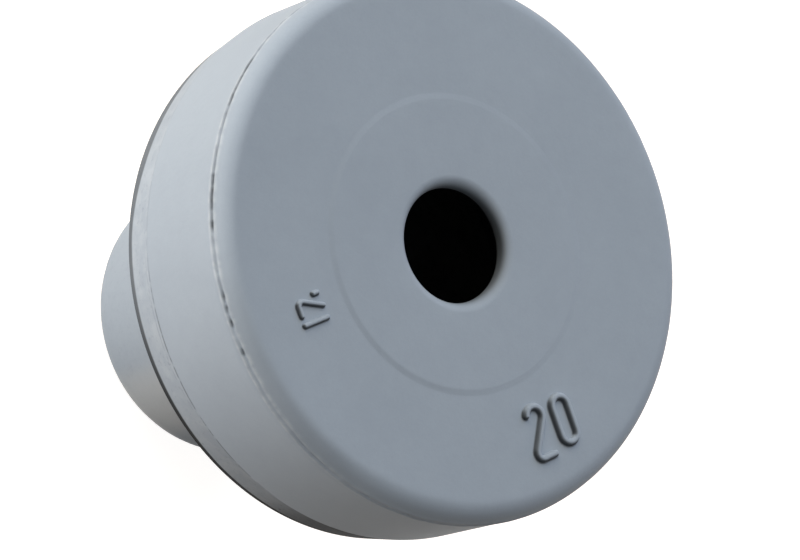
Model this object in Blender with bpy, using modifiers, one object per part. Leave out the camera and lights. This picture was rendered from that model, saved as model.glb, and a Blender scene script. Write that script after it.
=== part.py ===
"""Push-in cable grommet for a round panel hole, moulded in one piece of soft elastomer.

A thick drum-shaped head carries the face with the cable hole and seats on the panel. Behind
it come the neck that fills the panel hole, a retaining bead, a lead-in cone and the spout.
The piece is hollow: a thin front diaphragm with the cable hole, a chamber inside the head, the
bore through the neck and a second diaphragm with the outlet across the spout's end.

The origin is at the centre of the spout's flat end. +Z runs up the axis, out of the face.
"""
import math

import bmesh
import bpy
from mathutils import Vector

# Every size is in millimetres.
OVERALL_LENGTH = 24.0

HEAD_DIAMETER = 28.0
HEAD_THICKNESS = 9.0
HEAD_FRONT_RADIUS = 1.0
HEAD_TAPER_LENGTH = 2.4
HEAD_TAPER_DEPTH = 0.37
HEAD_REAR_RADIUS = 0.15
HEAD_SIDE_WALL = 3.0
HEAD_FRONT_WALL = 1.6
HEAD_SEAT_WALL = 2.2

PLATEAU_DIAMETER = 15.0
PLATEAU_HEIGHT = 0.04
PLATEAU_EDGE = 0.3

CABLE_HOLE_DIAMETER = 6.2
CABLE_HOLE_EDGE = 0.25
FRONT_DIAPHRAGM = 0.8

PANEL_HOLE_DIAMETER = 20.3
PANEL_CLEARANCE = 0.15
PANEL_GRIP = 2.2
NECK_WALL = 2.4
BEAD_OVERLAP = 1.05
BEAD_LAND = 0.8
BEAD_SHOULDER = 0.3
BEAD_RADIUS = 0.5
LEAD_IN_LENGTH = 5.0
LEAD_IN_RADIUS = 2.0

SPOUT_DIAMETER = 14.6
SPOUT_DRAFT = 0.12
SPOUT_WALL = 1.5
SPOUT_END_RADIUS = 2.5
OUTLET_DIAMETER = 5.75
OUTLET_DIAPHRAGM = 0.8

SMALL_RADIUS = 0.25
INNER_RADIUS = 0.8

# How finely round shapes are drawn: steps in a full turn, and how far an arc's chords may stray.
TURN_STEPS = 72
CHORD_ERROR = 0.035
MERGE_DISTANCE = 0.001
MILLIMETRE = 0.001

# The outlet has a full-round rim: each of its two edges takes just under half the wall.
RIM_SHARE = 0.48
# Neighbouring corner radii may use up this much of the straight run between them.
RUN_SHARE = 0.98

COLLECTION_NAME = "Cable_Grommet"
PART_NAME = "grommet"
ELASTOMER_COLOUR = (0.262, 0.296, 0.342, 1.0)
ELASTOMER_ROUGHNESS = 0.58


def clear_scene():
    """Remove every object that the scene starts with."""
    for item in list(bpy.data.objects):
        bpy.data.objects.remove(item, do_unlink=True)


def make_collection(name):
    """Return a new collection that is linked into the scene."""
    collection = bpy.data.collections.new(name)
    bpy.context.scene.collection.children.link(collection)
    return collection


def make_material(name, colour, roughness):
    """Return a plain non-metallic Principled material."""
    material = bpy.data.materials.new(name)
    material.use_nodes = True
    shader = material.node_tree.nodes["Principled BSDF"]
    shader.inputs["Base Color"].default_value = colour
    shader.inputs["Roughness"].default_value = roughness
    shader.inputs["Metallic"].default_value = 0.0
    return material


def outside_corners():
    """Return the outside as (radius, height, corner radius), from the cable hole to the outlet."""
    face = OVERALL_LENGTH - PLATEAU_HEIGHT
    seat = OVERALL_LENGTH - HEAD_THICKNESS
    head = HEAD_DIAMETER / 2
    neck = PANEL_HOLE_DIAMETER / 2 - PANEL_CLEARANCE
    bead = PANEL_HOLE_DIAMETER / 2 + BEAD_OVERLAP
    plateau = PLATEAU_DIAMETER / 2
    spout = SPOUT_DIAMETER / 2
    bead_top = seat - PANEL_GRIP
    bead_foot = bead_top - BEAD_SHOULDER - BEAD_LAND
    cone_foot = bead_foot - LEAD_IN_LENGTH
    return [
        (CABLE_HOLE_DIAMETER / 2, OVERALL_LENGTH, CABLE_HOLE_EDGE),
        (plateau - PLATEAU_EDGE / 2, OVERALL_LENGTH, 0.0),
        (plateau + PLATEAU_EDGE / 2, face, 0.0),
        (head, face, HEAD_FRONT_RADIUS),
        (head, seat + HEAD_TAPER_LENGTH, 0.0),
        (head - HEAD_TAPER_DEPTH, seat, HEAD_REAR_RADIUS),
        (neck, seat, SMALL_RADIUS),
        (neck, bead_top, SMALL_RADIUS),
        (bead, bead_top - BEAD_SHOULDER, BEAD_RADIUS),
        (bead, bead_foot, BEAD_RADIUS),
        (spout + SPOUT_DRAFT, cone_foot, LEAD_IN_RADIUS),
        (spout, 0.0, SPOUT_END_RADIUS),
    ]


def inside_corners():
    """Return the hollow as (radius, height, corner radius), from the outlet to the cable hole."""
    face = OVERALL_LENGTH - PLATEAU_HEIGHT
    seat = OVERALL_LENGTH - HEAD_THICKNESS
    chamber = HEAD_DIAMETER / 2 - HEAD_SIDE_WALL
    bore = PANEL_HOLE_DIAMETER / 2 - PANEL_CLEARANCE - NECK_WALL
    tube = SPOUT_DIAMETER / 2 - SPOUT_WALL
    plateau = PLATEAU_DIAMETER / 2
    bead_foot = seat - PANEL_GRIP - BEAD_SHOULDER - BEAD_LAND
    cone_foot = bead_foot - LEAD_IN_LENGTH
    chamber_floor = seat + HEAD_SEAT_WALL
    chamber_roof = face - HEAD_FRONT_WALL
    thin_roof = OVERALL_LENGTH - FRONT_DIAPHRAGM
    step = thin_roof - chamber_roof
    outlet_rim = RIM_SHARE * OUTLET_DIAPHRAGM
    return [
        (OUTLET_DIAMETER / 2, 0.0, outlet_rim),
        (OUTLET_DIAMETER / 2, OUTLET_DIAPHRAGM, outlet_rim),
        (tube, OUTLET_DIAPHRAGM, SPOUT_END_RADIUS - SPOUT_WALL),
        (tube + SPOUT_DRAFT, cone_foot, LEAD_IN_RADIUS),
        (bore, bead_foot, LEAD_IN_RADIUS),
        (bore, chamber_floor, INNER_RADIUS),
        (chamber, chamber_floor, INNER_RADIUS),
        (chamber, chamber_roof, INNER_RADIUS),
        (plateau + step, chamber_roof, INNER_RADIUS),
        (plateau, thin_roof, INNER_RADIUS),
        (CABLE_HOLE_DIAMETER / 2, thin_roof, CABLE_HOLE_EDGE),
    ]


def tangent_length(before, corner, after, radius):
    """Return how far from the corner an arc of this radius starts on the two straight runs."""
    half = (before - corner).angle(after - corner) / 2
    return radius / math.tan(half)


def rounded_outline(corners):
    """Return the points of a closed outline whose corners are replaced by tangent arcs.

    Where two neighbouring arcs need more than the run between them, both radii are reduced
    until they fit, so thin walls still get a rounded edge.
    """
    points = [Vector((radius, height)) for radius, height, _ in corners]
    count = len(points)
    lengths = [
        tangent_length(points[i - 1], points[i], points[(i + 1) % count], corners[i][2])
        for i in range(count)
    ]
    shares = [1.0] * count
    for i in range(count):
        j = (i + 1) % count
        run = (points[j] - points[i]).length * RUN_SHARE
        needed = lengths[i] + lengths[j]
        if needed > run:
            shares[i] = min(shares[i], run / needed)
            shares[j] = min(shares[j], run / needed)
    outline = []
    for i in range(count):
        if corners[i][2] <= 0.0:
            outline.append(points[i])
        else:
            neighbours = (points[i - 1], points[(i + 1) % count])
            outline.extend(corner_arc(points[i], neighbours, lengths[i] * shares[i]))
    return outline


def corner_arc(corner, neighbours, tangent):
    """Return the points of the arc that starts and ends at this distance from the corner."""
    towards_before = (neighbours[0] - corner).normalized()
    towards_after = (neighbours[1] - corner).normalized()
    half = towards_before.angle(towards_after) / 2
    radius = tangent * math.tan(half)
    bisector = (towards_before + towards_after).normalized()
    centre = corner + bisector * (radius / math.sin(half))
    start = corner + towards_before * tangent - centre
    end = corner + towards_after * tangent - centre
    sweep = math.pi - 2 * half
    widest_step = 2 * math.acos(max(0.0, 1 - CHORD_ERROR / radius))
    pieces = max(2, math.ceil(sweep / widest_step))
    arc = []
    for k in range(pieces + 1):
        part = k / pieces
        arc.append(centre + start * (math.sin((1 - part) * sweep) / math.sin(sweep))
                   + end * (math.sin(part * sweep) / math.sin(sweep)))
    return arc


def make_profile_mesh(name, outline):
    """Return a mesh that holds the closed outline as edges in the XZ plane, at +X."""
    mesh = bpy.data.meshes.new(name)
    drawing = bmesh.new()
    vertices = [
        drawing.verts.new((point.x * MILLIMETRE, 0.0, point.y * MILLIMETRE)) for point in outline
    ]
    for i in range(len(vertices)):
        drawing.edges.new((vertices[i - 1], vertices[i]))
    drawing.to_mesh(mesh)
    drawing.free()
    return mesh


def add_turned_part(name, outline, material, collection):
    """Add the solid that the closed outline makes when it is turned once about Z."""
    mesh = make_profile_mesh(name, outline)
    mesh.materials.append(material)
    part = bpy.data.objects.new(name, mesh)
    collection.objects.link(part)
    turn = part.modifiers.new("Turn", "SCREW")
    turn.axis = "Z"
    turn.angle = 2 * math.pi
    turn.screw_offset = 0.0
    turn.steps = TURN_STEPS
    turn.render_steps = TURN_STEPS
    turn.use_merge_vertices = True
    turn.merge_threshold = MERGE_DISTANCE * MILLIMETRE
    turn.use_smooth_shade = True
    return part


def main():
    """Build the grommet."""
    clear_scene()
    collection = make_collection(COLLECTION_NAME)
    elastomer = make_material("grey_elastomer", ELASTOMER_COLOUR, ELASTOMER_ROUGHNESS)
    outline = rounded_outline(outside_corners() + inside_corners())
    add_turned_part(PART_NAME, outline, elastomer, collection)


main()
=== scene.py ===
"""Looks of a push-in cable grommet: one moulding of matt blue-grey elastomer on a pale floor.

The moulding is turned again here at a finer step than the CAD node that it replaces, with what
the mould leaves on it: the seam behind the front edge, the witness line round the side, the
raised ring and the raised numbers on the face. Sizes are in millimetres in the classes, and
become metres when a mesh is made. X and Y lie in the face and +Z runs out of it. Directions
round the axis are degrees from +X in the classes' fields, and radians in their methods.
"""
import logging
import math
from collections.abc import Callable, Sequence
from dataclasses import dataclass, field
from enum import Enum
from functools import partial

import bmesh
import bpy
from mathutils import Matrix, Vector, noise
from mathutils.geometry import delaunay_2d_cdt


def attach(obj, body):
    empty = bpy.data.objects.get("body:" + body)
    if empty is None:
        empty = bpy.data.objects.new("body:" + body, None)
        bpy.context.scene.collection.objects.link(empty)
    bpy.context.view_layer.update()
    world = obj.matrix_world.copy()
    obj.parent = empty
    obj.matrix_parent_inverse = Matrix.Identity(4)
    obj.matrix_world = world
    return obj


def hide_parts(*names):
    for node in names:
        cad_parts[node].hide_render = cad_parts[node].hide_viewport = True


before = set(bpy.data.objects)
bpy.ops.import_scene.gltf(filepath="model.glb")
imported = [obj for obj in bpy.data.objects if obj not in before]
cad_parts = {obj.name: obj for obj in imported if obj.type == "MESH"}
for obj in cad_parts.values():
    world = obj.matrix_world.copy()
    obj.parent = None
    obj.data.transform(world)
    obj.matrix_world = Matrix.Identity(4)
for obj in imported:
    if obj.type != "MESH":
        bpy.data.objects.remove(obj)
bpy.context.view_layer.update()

MILLIMETRE = 0.001

# The layers of the mesh that the finish reads: the dirt and painted shade that marks hold, and the
# painted highlight on the seam's lips.
GRIME_AND_SHADE = "grime_and_shade"
LIP_HIGHLIGHT = "lip_highlight"

Colour = tuple[float, float, float, float]
Shift = tuple[float, float, float]
# Two values of a measure: where something starts, and where it is whole.
Window = tuple[float, float]
Ring = list[bmesh.types.BMVert]

WHITE: Colour = (1.0, 1.0, 1.0, 1.0)

log = logging.getLogger("grommet")


# ---------------------------------------------------------------- measures

def bell(distance: float, width: float) -> float:
    """Return a smooth bump that is 1 at no distance and near 0 two widths away."""
    return math.exp(-(distance / width) ** 2)


def smooth(low: float, high: float, value: float) -> float:
    """Return 0 at low and before it, 1 at high and beyond it, and a smooth step between them."""
    share = min(1.0, max(0.0, (value - low) / (high - low)))
    return share * share * (3 - 2 * share)


def around(angle: float) -> Vector:
    """Return the point at an angle in radians on the circle of radius 1 about the axis."""
    return Vector((math.cos(angle), math.sin(angle), 0.0))


def facing(angle: float, degrees: float) -> float:
    """Return the cosine between an angle in radians and a direction in degrees."""
    return math.cos(angle - math.radians(degrees))


@dataclass(frozen=True)
class Ripple:
    """An unevenness along a mark that runs round the axis.

    Args:
        scale: How quick it is.
        amount: How strong it is.
        shift: Where its circle lies in the noise that it is read from.
    """

    scale: float
    amount: float
    shift: Shift = (0.0, 0.0, 0.0)

    def at(self, angle: float) -> float:
        """Return the unevenness at an angle in radians, about 0 in the middle."""
        return self.amount * noise.noise(around(angle) * self.scale + Vector(self.shift))


# ---------------------------------------------------------------- outlines

# Widest angle between two points of an arc: on the outside, in the hollow, on the head's rim
# and in a numeral.
ARC_STEP = math.radians(7.5)
HOLLOW_STEP = math.radians(15.0)
RIM_STEP = math.radians(6.0)
NUMERAL_STEP = math.radians(14.0)
# How much of the run between two corners their arcs may use up together.
RUN_SHARE = 0.98


@dataclass(frozen=True)
class Corner:
    """One corner of a section: where it is, and the radius that rounds it off.

    Args:
        across: Distance from the axis, or x in a flat outline.
        up: Height above the foot, or y in a flat outline.
        rounding: Radius of the tangent arc that replaces the corner.
    """

    across: float
    up: float
    rounding: float = 0.0


def arc_between(corner: Vector, before: Vector, after: Vector, tangent: float,
                step: float) -> list[Vector]:
    """Round one corner off.

    Args:
        corner: The corner's place.
        before: The corner before it.
        after: The corner after it.
        tangent: How far from the corner the arc starts and ends.
        step: Widest angle between two points of the arc, in radians.

    Returns:
        The arc's points, first to last.
    """
    back = (before - corner).normalized()
    on = (after - corner).normalized()
    half = back.angle(on) / 2
    radius = tangent * math.tan(half)
    centre = corner + (back + on).normalized() * (radius / math.sin(half))
    start = corner + back * tangent - centre
    end = corner + on * tangent - centre
    sweep = math.pi - 2 * half
    count = max(2, math.ceil(sweep / step))
    points = []
    for k in range(count + 1):
        share = k / count
        points.append(centre + start * (math.sin((1 - share) * sweep) / math.sin(sweep))
                      + end * (math.sin(share * sweep) / math.sin(sweep)))
    return points


def rounded(corners: Sequence[Corner], step: float = ARC_STEP) -> list[Vector]:
    """Turn a chain of corners into a chain of points with tangent arcs.

    Args:
        corners: The chain; its two ends stay as they are.
        step: Widest angle between two points of an arc, in radians.

    Returns:
        The points of the rounded chain.
    """
    spots = [Vector((corner.across, corner.up)) for corner in corners]
    last = len(spots) - 1
    reach = [0.0] * len(spots)
    for i in range(1, last):
        half = (spots[i - 1] - spots[i]).angle(spots[i + 1] - spots[i]) / 2
        reach[i] = corners[i].rounding / math.tan(half)
    share = [1.0] * len(spots)
    for i in range(last):
        run = (spots[i + 1] - spots[i]).length * RUN_SHARE
        if reach[i] + reach[i + 1] > run:
            fit = run / (reach[i] + reach[i + 1])
            share[i], share[i + 1] = min(share[i], fit), min(share[i + 1], fit)
    points: list[Vector] = []
    for i, spot in enumerate(spots):
        if reach[i] > 0.0:
            points += arc_between(spot, spots[i - 1], spots[i + 1], reach[i] * share[i], step)
        else:
            points.append(spot)
    return points


# ---------------------------------------------------------------- the turned section

@dataclass(frozen=True)
class Section:
    """The moulding's turned section, as the CAD has it but for the lip of the cable hole.

    Args:
        worn_radius: Mean radius of the front edge, which is unevenly soft.
        worn_change: How much its radius grows towards worn_angle, and shrinks the other way.
        worn_angle: Where round the axis the front edge is softest.
        worn_from: Height up to which points of the front edge keep their height.
        lip_shade_angle: Where round the axis the painted shade down the lip of the cable hole is
            densest.
        lip_shade_share: How dense that painted shade is all round.
        lip_shade_more: How much denser it is at lip_shade_angle.
        lip_shade_depth: How far down the lip the painted shade is at its densest.
        lip_shade_rise: How much higher that is at lip_shade_angle.
    """

    length: float = 24.0
    head_radius: float = 14.0
    head_thickness: float = 9.0
    front_radius: float = 1.0
    taper_length: float = 2.4
    taper_depth: float = 0.37
    rear_radius: float = 0.15
    side_wall: float = 3.0
    front_wall: float = 1.6
    seat_wall: float = 2.2
    plateau_radius: float = 7.5
    plateau_height: float = 0.04
    plateau_edge: float = 0.3
    plateau_rounding: float = 0.6
    hole_radius: float = 2.92
    hole_edge: float = 0.60
    hole_back_edge: float = 0.15
    waist_gap: float = 0.01
    outlet_radius: float = 2.875
    diaphragm: float = 0.8
    neck_radius: float = 10.0
    neck_wall: float = 2.4
    panel_grip: float = 2.2
    bead_radius: float = 11.2
    bead_land: float = 0.8
    bead_shoulder: float = 0.3
    bead_rounding: float = 0.5
    cone_length: float = 5.0
    cone_rounding: float = 2.0
    spout_radius: float = 7.3
    spout_draft: float = 0.12
    spout_wall: float = 1.5
    spout_rounding: float = 2.5
    small_rounding: float = 0.25
    inner_rounding: float = 0.8
    rim_share: float = 0.48
    rim_inset: float = 1.4
    seat_inset: float = 1.2
    worn_radius: float = 1.05
    worn_change: float = 0.17
    worn_angle: float = 215.0
    worn_from: float = 23.62
    lip_shade_angle: float = 10.0
    lip_shade_share: float = 0.54
    lip_shade_more: float = 0.30
    lip_shade_depth: float = 0.48
    lip_shade_rise: float = 0.10

    @property
    def face(self) -> float:
        """Height of the face round the plateau."""
        return self.length - self.plateau_height

    @property
    def seat(self) -> float:
        """Height of the flat seat under the head."""
        return self.length - self.head_thickness

    @property
    def lip_waist(self) -> float:
        """Height on the wall of the cable hole where the outside's finish ends."""
        return self.length - self.diaphragm + self.hole_back_edge + self.waist_gap

    @property
    def rim_radius(self) -> float:
        """Radius of the two rings where the finely turned rim ends, on the face and on the seat."""
        return self.head_radius - self.rim_inset

    @property
    def bead_top(self) -> float:
        """Height where the neck meets the bead."""
        return self.seat - self.panel_grip

    @property
    def bead_foot(self) -> float:
        """Height where the bead meets the cone."""
        return self.bead_top - self.bead_shoulder - self.bead_land

    @property
    def cone_foot(self) -> float:
        """Height where the cone meets the spout."""
        return self.bead_foot - self.cone_length

    def worn_front(self, point: Vector, angle: float) -> Vector:
        """Move a point of the front arc to where it lies at an angle, as the edge is worn.

        Args:
            point: The point on the even arc, or anywhere else on the rim.
            angle: Where round the axis, in radians.

        Returns:
            The point on the arc at that angle; up to worn_from it keeps its height.
        """
        even, touch = self.front_radius, 1e-6
        if point.x < self.head_radius - even - touch:
            return point
        radius = self.worn_radius + self.worn_change * facing(angle, self.worn_angle)
        centre = Vector((self.head_radius - radius, self.face - radius))
        if point.y <= centre.y:
            return point
        if point.y <= self.worn_from:
            rise = point.y - centre.y
            return Vector((centre.x + math.sqrt(radius ** 2 - rise ** 2), point.y))
        here = math.atan2(point.y - self.face + even, point.x - self.head_radius + even)
        left = math.pi / 2 - math.asin((self.worn_from - self.face + even) / even)
        worn_left = math.pi / 2 - math.asin((self.worn_from - centre.y) / radius)
        turn = math.pi / 2 - (math.pi / 2 - here) * worn_left / left
        return centre + radius * Vector((math.cos(turn), math.sin(turn)))

    def lip_shade(self, point: Vector, angle: float) -> float:
        """Return how much painted shade darkens the lip of the cable hole, more the deeper into the
        hole.

        Args:
            point: The point of the section.
            angle: Where round the axis, in radians.

        Returns:
            The painted shade's share, which is 0 away from the lip.
        """
        if point.x > self.hole_radius + self.hole_edge:
            return 0.0
        far = max(0.0, facing(angle, self.lip_shade_angle)) ** 3
        lowest = self.lip_shade_rise * far - self.lip_shade_depth
        share = self.lip_shade_share + self.lip_shade_more * far
        return share * smooth(0.0, lowest, point.y - self.length)

    def rim_corners(self) -> list[Corner]:
        """Return the head's rim, from the seat round the side to the face."""
        return [
            Corner(self.rim_radius, self.seat),
            Corner(self.head_radius - self.taper_depth, self.seat, self.rear_radius),
            Corner(self.head_radius, self.seat + self.taper_length),
            Corner(self.head_radius, self.face, self.front_radius),
            Corner(self.rim_radius, self.face),
        ]

    def crown_corners(self) -> list[Corner]:
        """Return the plateau and the lip of the cable hole, from the face to the lip's waist."""
        edge = self.plateau_edge / 2
        return [
            Corner(self.plateau_radius + 2 * edge, self.face),
            Corner(self.plateau_radius + edge, self.face, self.plateau_rounding),
            Corner(self.plateau_radius - edge, self.length, self.plateau_rounding),
            Corner(self.plateau_radius - 2 * edge, self.length),
            Corner(self.hole_radius, self.length, self.hole_edge),
            Corner(self.hole_radius, self.lip_waist),
        ]

    def hollow_corners(self) -> list[Corner]:
        """Return the inside, from the lip's waist through the chamber and bores to the outlet."""
        chamber = self.head_radius - self.side_wall
        floor = self.seat + self.seat_wall
        roof = self.face - self.front_wall
        thin_roof = self.length - self.diaphragm
        bore = self.neck_radius - self.neck_wall
        tube = self.spout_radius - self.spout_wall
        soft = self.inner_rounding
        return [
            Corner(self.hole_radius, self.lip_waist),
            Corner(self.hole_radius, thin_roof, self.hole_back_edge),
            Corner(self.plateau_radius, thin_roof, soft),
            Corner(self.plateau_radius + thin_roof - roof, roof, soft),
            Corner(chamber, roof, soft),
            Corner(chamber, floor, soft),
            Corner(bore, floor, soft),
            Corner(bore, self.bead_foot, self.cone_rounding),
            Corner(tube + self.spout_draft, self.cone_foot, self.cone_rounding),
            Corner(tube, self.diaphragm, self.spout_rounding - self.spout_wall),
            Corner(self.outlet_radius, self.diaphragm, self.rim_share * self.diaphragm),
            Corner(self.outlet_radius, self.diaphragm / 2),
        ]

    def shank_corners(self) -> list[Corner]:
        """Return the outside behind the head, from the outlet's waist to the seat."""
        return [
            Corner(self.outlet_radius, self.diaphragm / 2),
            Corner(self.outlet_radius, 0.0, self.rim_share * self.diaphragm),
            Corner(self.spout_radius, 0.0, self.spout_rounding),
            Corner(self.spout_radius + self.spout_draft, self.cone_foot, self.cone_rounding),
            Corner(self.bead_radius, self.bead_foot, self.bead_rounding),
            Corner(self.bead_radius, self.bead_top - self.bead_shoulder, self.bead_rounding),
            Corner(self.neck_radius, self.bead_top, self.small_rounding),
            Corner(self.neck_radius, self.seat, self.small_rounding),
            Corner(self.rim_radius - self.seat_inset, self.seat),
        ]


# ---------------------------------------------------------------- the mould's lines

@dataclass(frozen=True)
class Nick:
    """A place on the seam where the flash tore out or stands proud.

    Args:
        angle: Where it is round the axis, in degrees.
        spread: Half its length, in degrees.
        depth: How far it goes in, or out where negative.
    """

    angle: float
    spread: float
    depth: float

    def share(self, degrees: float) -> float:
        """Return how much of the nick is there at an angle in degrees, from 0 to 1."""
        turn = (degrees - self.angle + 180.0) % 360.0 - 180.0
        return bell(turn, self.spread) if abs(turn) < 4 * self.spread else 0.0


@dataclass(frozen=True)
class Seam:
    """The mould's seam just behind the front edge: a fine broken groove with a lip on each side.

    Args:
        height: Its mean height.
        lean: How far it is out of level, highest at lean_angle.
        bend: How far it is bent, highest at bend_angle and opposite.
        wander: How it wanders up and down.
        reach: How far from it the surface can still be changed by it.
        half_width: Half the groove's width.
        depth: The groove's depth where it is open.
        open_slow: Where the groove opens, in long runs.
        open_slow_from: Values of open_slow between which it opens.
        open_quick: How the groove changes within a run.
        open_quick_from: Values of open_quick between which it opens.
        open_least: How open it is within a run at the least.
        lip_offset: How far the lips are from the groove's middle.
        lip_width: How wide the lips are.
        lip_height: How high the lips are.
        nicks: Its nicks.
        proud_width: Half the width of a nick that stands proud, in half widths of the groove.
        shade_width: How far its painted shade and dirt spread.
        shade_ripples: How those change along it.
        nick_shade: How dense the painted shade and dirt in a nick are.
        traces: Angles in degrees, and how dense the painted shade and dirt are there.
        highlight_angle: The direction that the painted highlight on its lips faces.
        highlight_facing: Cosines to that direction between which the painted highlight sets in.
        highlight_patches: How the painted highlight changes along it.
        highlight_from: Values of highlight_patches between which the painted highlight sets in.
        highlight_least: How strong the painted highlight is between the patches.
    """

    height: float = 23.19
    lean: float = 0.105
    lean_angle: float = 307.0
    bend: float = 0.17
    bend_angle: float = 190.4
    wander: tuple[Ripple, ...] = (Ripple(12.0, 0.035, (0.0, 0.0, 7.2)),
                                  Ripple(40.0, 0.0245, (0.0, 0.0, 24.0)))
    reach: float = 0.45
    half_width: float = 0.055
    depth: float = 0.045
    open_slow: Ripple = Ripple(5.0, 0.9)
    open_slow_from: Window = (0.1, 0.75)
    open_quick: Ripple = Ripple(26.0, 1.1, (3.1, 0.4, 7.7))
    open_quick_from: Window = (0.15, 0.7)
    open_least: float = 0.35
    lip_offset: float = 0.13
    lip_width: float = 0.08
    lip_height: float = 0.030
    nicks: tuple[Nick, ...] = (
        Nick(127.0, 1.2, -0.060), Nick(140.5, 3.0, 0.030), Nick(148.0, 1.6, 0.025),
        Nick(166.0, 0.9, 0.050), Nick(171.0, 2.4, 0.030), Nick(176.3, 1.0, 0.050),
        Nick(178.3, 0.7, -0.070), Nick(190.3, 0.8, 0.060), Nick(193.0, 0.7, 0.050),
        Nick(196.0, 1.0, 0.070), Nick(202.2, 0.8, 0.070), Nick(199.3, 0.6, -0.030),
        Nick(236.0, 0.7, -0.050), Nick(251.0, 0.9, -0.050), Nick(24.0, 0.8, -0.055),
        Nick(318.0, 1.4, 0.055), Nick(345.0, 0.9, 0.060), Nick(61.0, 1.1, 0.050),
        Nick(88.0, 0.7, 0.055), Nick(290.0, 0.9, 0.045),
    )
    proud_width: float = 1.6
    shade_width: float = 0.095
    shade_reach: float = 0.3
    shade_ripples: tuple[Ripple, ...] = (Ripple(34.0, 0.8), Ripple(75.0, 0.9))
    nick_shade: float = 0.8
    traces: tuple[tuple[float, float], ...] = (
        (0.0, 0.20), (60.0, 0.30), (100.0, 0.20), (118.0, 0.24), (136.0, 0.30), (140.0, 0.54),
        (150.0, 0.46), (154.0, 0.30), (164.0, 0.30), (166.0, 0.62), (176.0, 0.56), (179.0, 0.22),
        (188.0, 0.28), (190.0, 0.50), (192.0, 0.26), (194.0, 0.20), (198.0, 0.10), (204.0, 0.04),
        (230.0, 0.02), (300.0, 0.20), (345.0, 0.12), (360.0, 0.20),
    )
    # The seam's lips carry a painted highlight on the side that faces this way.
    highlight_angle: float = 160.0
    highlight_facing: Window = (-0.2, 0.7)
    highlight_patches: Ripple = Ripple(46.0, 0.9, (0.0, 0.0, 105.8))
    highlight_from: Window = (0.30, 0.75)
    highlight_least: float = 0.3

    def height_at(self, angle: float) -> float:
        """Return the seam's height at an angle in radians."""
        lean = self.lean * facing(angle, self.lean_angle)
        bend = self.bend * math.cos(2 * (angle - math.radians(self.bend_angle)))
        return self.height + lean + bend + sum(ripple.at(angle) for ripple in self.wander)

    def trace_at(self, degrees: float) -> float:
        """Return how dense the seam's painted shade and dirt are at an angle in degrees, before its
        ripples.
        """
        for (start, low), (end, high) in zip(self.traces, self.traces[1:]):
            if start <= degrees <= end:
                return low + (high - low) * (degrees - start) / (end - start)
        return 0.0

    def grime_and_shade(self, angle: float, height: float) -> float:
        """Return how dark the seam is painted: painted shade in its groove and nicks, and dirt.

        Args:
            angle: Where round the axis, in radians.
            height: How high on the side.

        Returns:
            The share of that darkness there, from 0 to 1.
        """
        away = height - self.height_at(angle)
        if abs(away) > self.shade_reach:
            return 0.0
        degrees = math.degrees(angle) % 360.0
        # Painted shade and dirt in the groove and its nicks.
        ripples = 1.0 + sum(ripple.at(angle) for ripple in self.shade_ripples)
        shares = [self.nick_shade * nick.share(degrees) for nick in self.nicks if nick.depth > 0]
        share = max(self.trace_at(degrees) * ripples, *shares)
        return min(1.0, share * bell(away, self.shade_width))

    def lip_highlight(self, angle: float, height: float) -> float:
        """Return how strong the painted highlight on the seam's lips is.

        Args:
            angle: Where round the axis, in radians.
            height: How high on the side.

        Returns:
            The highlight's share there, from 0 to 1.
        """
        away = height - self.height_at(angle)
        if abs(away) > self.reach:
            return 0.0
        patchy = smooth(*self.highlight_from, 0.5 + self.highlight_patches.at(angle))
        rubbed = self.highlight_least + (1 - self.highlight_least) * patchy
        turned = smooth(*self.highlight_facing, facing(angle, self.highlight_angle))
        return bell(abs(away) - self.lip_offset, self.lip_width) * rubbed * turned

    def strength_at(self, angle: float) -> float:
        """Return how open the groove is at an angle in radians, from 0 to 1."""
        slow = smooth(*self.open_slow_from, 0.5 + self.open_slow.at(angle))
        quick = smooth(*self.open_quick_from, 0.5 + self.open_quick.at(angle))
        return slow * (self.open_least + (1 - self.open_least) * quick)

    def relief(self, angle: float, height: float) -> float:
        """Return how far the seam moves the surface out.

        Args:
            angle: Where round the axis, in radians.
            height: How high on the side.

        Returns:
            The move along the surface's normal, below 0 for inwards.
        """
        away = height - self.height_at(angle)
        if abs(away) > self.reach:
            return 0.0
        move = self.lip_height * bell(abs(away) - self.lip_offset, self.lip_width)
        move -= self.depth * self.strength_at(angle) * bell(away, self.half_width)
        for nick in self.nicks:
            wide = self.half_width * (1.0 if nick.depth > 0 else self.proud_width)
            move -= nick.depth * nick.share(math.degrees(angle)) * bell(away, wide)
        return move


@dataclass(frozen=True)
class WitnessLine:
    """The second line round the side, where the taper starts: a fine step into a rougher band.

    Args:
        height: Its mean height.
        wander: How it wanders up and down.
        reach: How far above it the surface can still be changed by it.
        groove_depth: How deep the line is cut.
        groove_width: How wide it is.
        step: How much lower the band below it lies.
        step_over: Heights from the line between which that step falls.
    """

    height: float = 17.42
    wander: Ripple = Ripple(2.0, 0.03, (0.0, 0.0, 3.4))
    reach: float = 0.3
    groove_depth: float = 0.020
    groove_width: float = 0.045
    step: float = 0.012
    step_over: Window = (0.03, -0.06)

    def relief(self, angle: float, height: float) -> float:
        """Return how far the line moves the surface out.

        Args:
            angle: Where round the axis, in radians.
            height: How high on the side.

        Returns:
            The move along the surface's normal, below 0 for inwards.
        """
        away = height - self.height - self.wander.at(angle)
        if away > self.reach:
            return 0.0
        groove = self.groove_depth * bell(away, self.groove_width)
        return -groove - self.step * smooth(*self.step_over, away)


# ---------------------------------------------------------------- raised numbers

class Digit(Enum):
    """The numerals that the face carries, and the pip beside the small number."""

    ZERO = "0"
    ONE = "1"
    TWO = "2"
    SEVEN = "7"
    PIP = "."


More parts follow.
